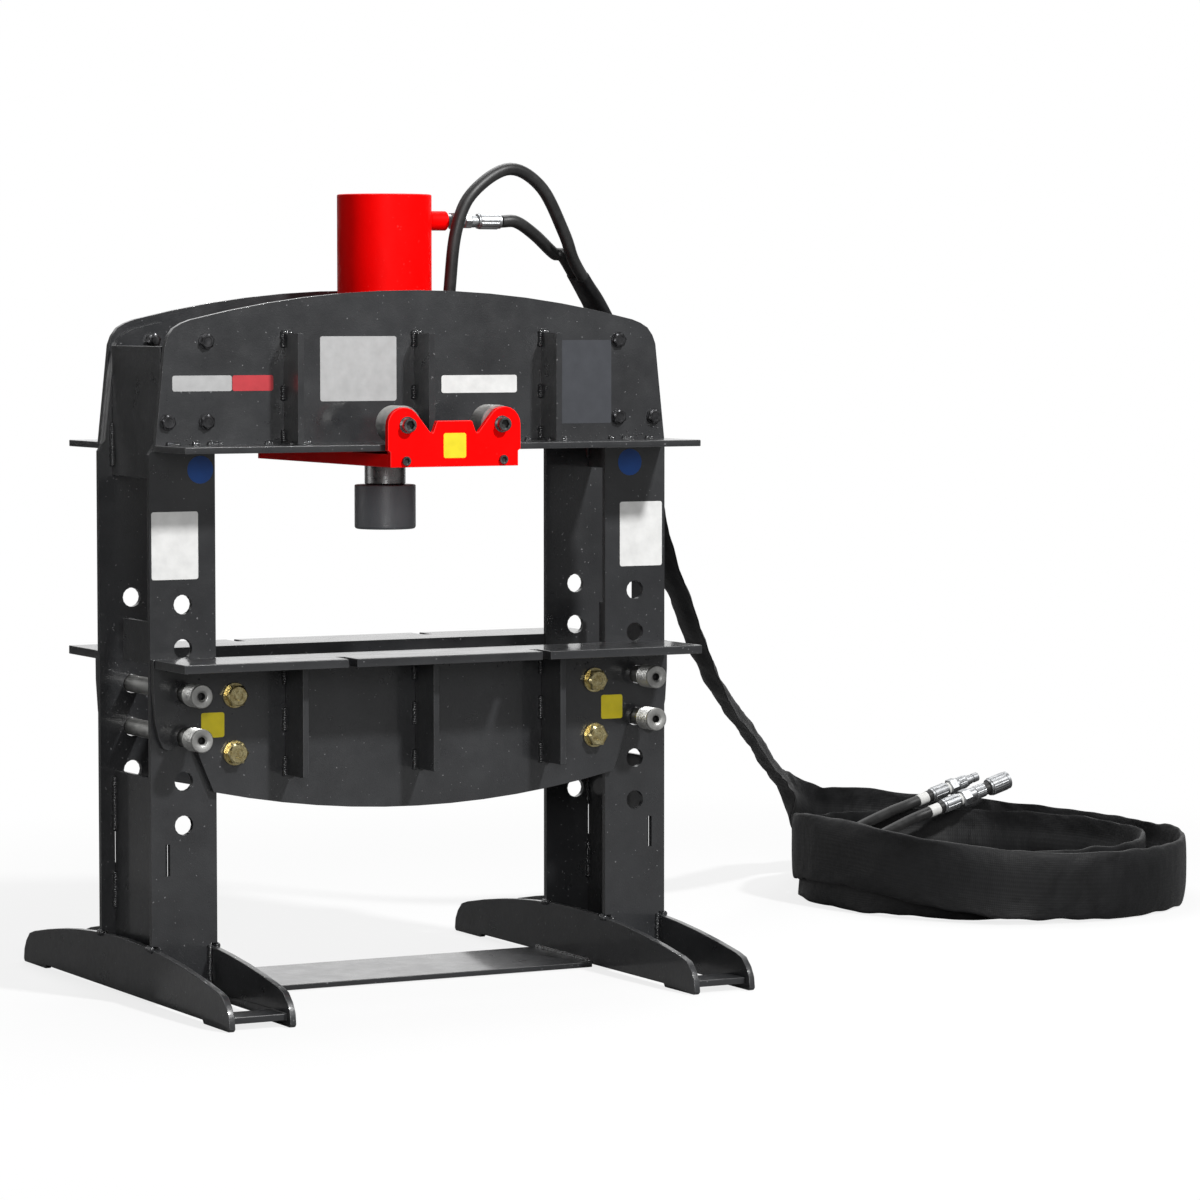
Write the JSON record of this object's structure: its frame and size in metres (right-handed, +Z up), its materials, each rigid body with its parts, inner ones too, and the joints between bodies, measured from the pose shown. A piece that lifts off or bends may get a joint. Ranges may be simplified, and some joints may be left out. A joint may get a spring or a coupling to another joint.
{
  "type": "hydraulic shop press",
  "caption": "H-frame floor shop press with a height-set table on pins, a hydraulic cylinder on a rolling carriage, and sleeved hoses ending in quick couplers.",
  "frame": {"origin": "centre of the frame's footprint, on the floor", "axes": "+X along the beam towards the hose side, +Z up, -Y towards the operator, where the pins' heads are"},
  "size_m": [2.0701, 1.1865, 1.2136],
  "materials": {
    "frame_paint": "charcoal powder coat, fine texture, semi-gloss",
    "red_paint": "bright red gloss enamel",
    "dark_steel": "black oxide, oiled",
    "bare_steel": "turned bare steel, slightly dull",
    "ram_steel": "ground and polished rod",
    "bolt_zinc": "yellow zinc plate",
    "fitting_plate": "bright zinc-nickel plate",
    "hose_rubber": "black synthetic rubber cover",
    "sleeve_nylon": "black woven nylon, creased"
  },
  "bodies": {
    "frame": {"upright_left_front": "frame_paint", "upright_left_rear": "frame_paint", "web_left_upper": "frame_paint", "web_left_lower": "frame_paint", "upright_right_front": "frame_paint", "upright_right_rear": "frame_paint", "web_right_upper": "frame_paint", "web_right_lower": "frame_paint", "beam_plate_front": "frame_paint", "beam_flange_front": "frame_paint", "table_plate_front": "frame_paint", "table_flange_front": "frame_paint", "beam_plate_rear": "frame_paint", "beam_flange_rear": "frame_paint", "table_plate_rear": "frame_paint", "table_flange_rear": "frame_paint", "table_bolt_left_upper": "bolt_zinc", "table_spacer_left_upper": "frame_paint", "table_bolt_left_lower": "bolt_zinc", "table_spacer_left_lower": "frame_paint", "table_bolt_right_upper": "bolt_zinc", "table_spacer_right_upper": "frame_paint", "table_bolt_right_lower": "bolt_zinc", "table_spacer_right_lower": "frame_paint", "foot_left_outer": "frame_paint", "foot_left_inner": "frame_paint", "foot_right_outer": "frame_paint", "foot_right_inner": "frame_paint", "floor_tie_bar": "frame_paint", "hose_sleeve": "sleeve_nylon", "hose_sleeve_coil": "sleeve_nylon", "hose_tail_a": "hose_rubber", "hose_tail_b": "hose_rubber", "coupler_male": "fitting_plate", "coupler_female": "fitting_plate"},
    "carriage": {"carriage_plate_front": "red_paint", "carriage_plate_rear": "red_paint", "carriage_base": "red_paint", "roller_bolt_front_left": "bare_steel", "roller_bolt_front_right": "bare_steel", "roller_bolt_rear_left": "bare_steel", "roller_bolt_rear_right": "bare_steel", "cylinder_barrel": "red_paint", "cylinder_gland": "dark_steel", "port_fitting_upper": "fitting_plate", "port_fitting_lower": "fitting_plate", "hose_a": "hose_rubber", "hose_b": "hose_rubber"},
    "ram": {"ram_rod": "ram_steel", "ram_nose": "dark_steel"},
    "roller_front_left": {"roller_front_left": "bare_steel"},
    "roller_front_right": {"roller_front_right": "bare_steel"},
    "roller_rear_left": {"roller_rear_left": "bare_steel"},
    "roller_rear_right": {"roller_rear_right": "bare_steel"},
    "pin_left_upper": {"pin_left_upper": "bare_steel"},
    "pin_left_lower": {"pin_left_lower": "bare_steel"},
    "pin_right_upper": {"pin_right_upper": "bare_steel"},
    "pin_right_lower": {"pin_right_lower": "bare_steel"}
  },
  "joints": [
    {"name": "carriage_slide", "type": "slide", "parent": "frame", "child": "carriage", "axis": [1, 0, 0], "range_m": [-0.17, 0.17], "deforming": ["hose_sleeve"]},
    {"name": "ram_slide", "type": "slide", "parent": "carriage", "child": "ram", "axis": [0, 0, -1], "range_m": [0, 0.15]},
    {"name": "roller_front_left_spin", "type": "hinge", "parent": "carriage", "child": "roller_front_left", "pos_m": [-0.076, -0.22275, 0.8312], "axis": [0, 1, 0], "range_deg": [-360, 360]},
    {"name": "roller_front_right_spin", "type": "hinge", "parent": "carriage", "child": "roller_front_right", "pos_m": [0.076, -0.22275, 0.8312], "axis": [0, 1, 0], "range_deg": [-360, 360]},
    {"name": "roller_rear_left_spin", "type": "hinge", "parent": "carriage", "child": "roller_rear_left", "pos_m": [-0.076, 0.18675, 0.8312], "axis": [0, 1, 0], "range_deg": [-360, 360]},
    {"name": "roller_rear_right_spin", "type": "hinge", "parent": "carriage", "child": "roller_rear_right", "pos_m": [0.076, 0.18675, 0.8312], "axis": [0, 1, 0], "range_deg": [-360, 360]},
    {"name": "pin_left_upper_pull", "type": "slide", "parent": "frame", "child": "pin_left_upper", "axis": [0, -1, 0], "range_m": [0, 0.3]},
    {"name": "pin_left_lower_pull", "type": "slide", "parent": "frame", "child": "pin_left_lower", "axis": [0, -1, 0], "range_m": [0, 0.3]},
    {"name": "pin_right_upper_pull", "type": "slide", "parent": "frame", "child": "pin_right_upper", "axis": [0, -1, 0], "range_m": [0, 0.3]},
    {"name": "pin_right_lower_pull", "type": "slide", "parent": "frame", "child": "pin_right_lower", "axis": [0, -1, 0], "range_m": [0, 0.3]}
  ],
  "couplings": [
    {"joint": "roller_front_left_spin", "follows": "carriage_slide", "rad_per_m": 36.364},
    {"joint": "roller_front_right_spin", "follows": "carriage_slide", "rad_per_m": 36.364},
    {"joint": "roller_rear_left_spin", "follows": "carriage_slide", "rad_per_m": 36.364},
    {"joint": "roller_rear_right_spin", "follows": "carriage_slide", "rad_per_m": 36.364}
  ]
}
